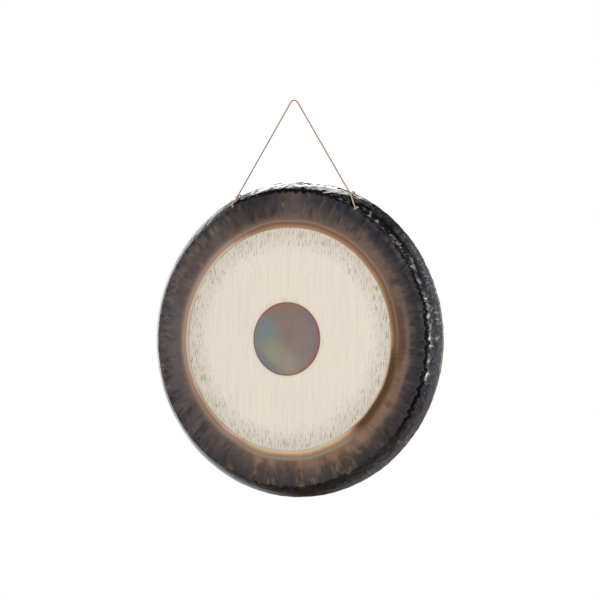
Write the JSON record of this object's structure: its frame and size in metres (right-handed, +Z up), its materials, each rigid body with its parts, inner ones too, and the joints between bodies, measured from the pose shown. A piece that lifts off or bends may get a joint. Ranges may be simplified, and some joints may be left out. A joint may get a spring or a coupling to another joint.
{
  "type": "tam tam gong",
  "caption": "Round bronze tam tam gong with a turned-back rim, hung face forward on a thin cord that runs over a hook and loops round the rim.",
  "frame": {"origin": "the point where the hook bears on the underside of the cord's crown; the gong's centre of mass hangs straight below it", "axes": "+Z up, -Y the way the gong's face looks, +X to the right of someone who faces the gong"},
  "size_m": [0.61, 0.0933, 0.7668],
  "materials": {
    "bronze": "lathe-brushed pale discs on a dark, flame-toned and hammered rim",
    "cord": "twisted tan cord"
  },
  "bodies": {
    "hook_cord": {"cord_crown": "cord"},
    "cord_bend": {"cord_bend_left": "cord", "cord_bend_right": "cord"},
    "cord_legs": {"cord_leg_left": "cord", "cord_leg_right": "cord"},
    "gong": {"gong_plate": "bronze", "cord_knot_left": "cord", "cord_knot_right": "cord", "rim_loop_left": "cord", "rim_loop_right": "cord"}
  },
  "joints": [
    {"name": "turn", "type": "hinge", "parent": "hook_cord", "child": "cord_bend", "pos_m": [0, 0, 0], "axis": [0, 0, 1], "range_deg": [-30, 30]},
    {"name": "swing", "type": "hinge", "parent": "cord_bend", "child": "cord_legs", "pos_m": [0, 0, -0.00286], "axis": [1, 0, 0], "range_deg": [-25, 25]},
    {"name": "nod", "type": "hinge", "parent": "cord_legs", "child": "gong", "pos_m": [0, 0, -0.18306], "axis": [1, 0, 0], "range_deg": [-20, 20]}
  ]
}
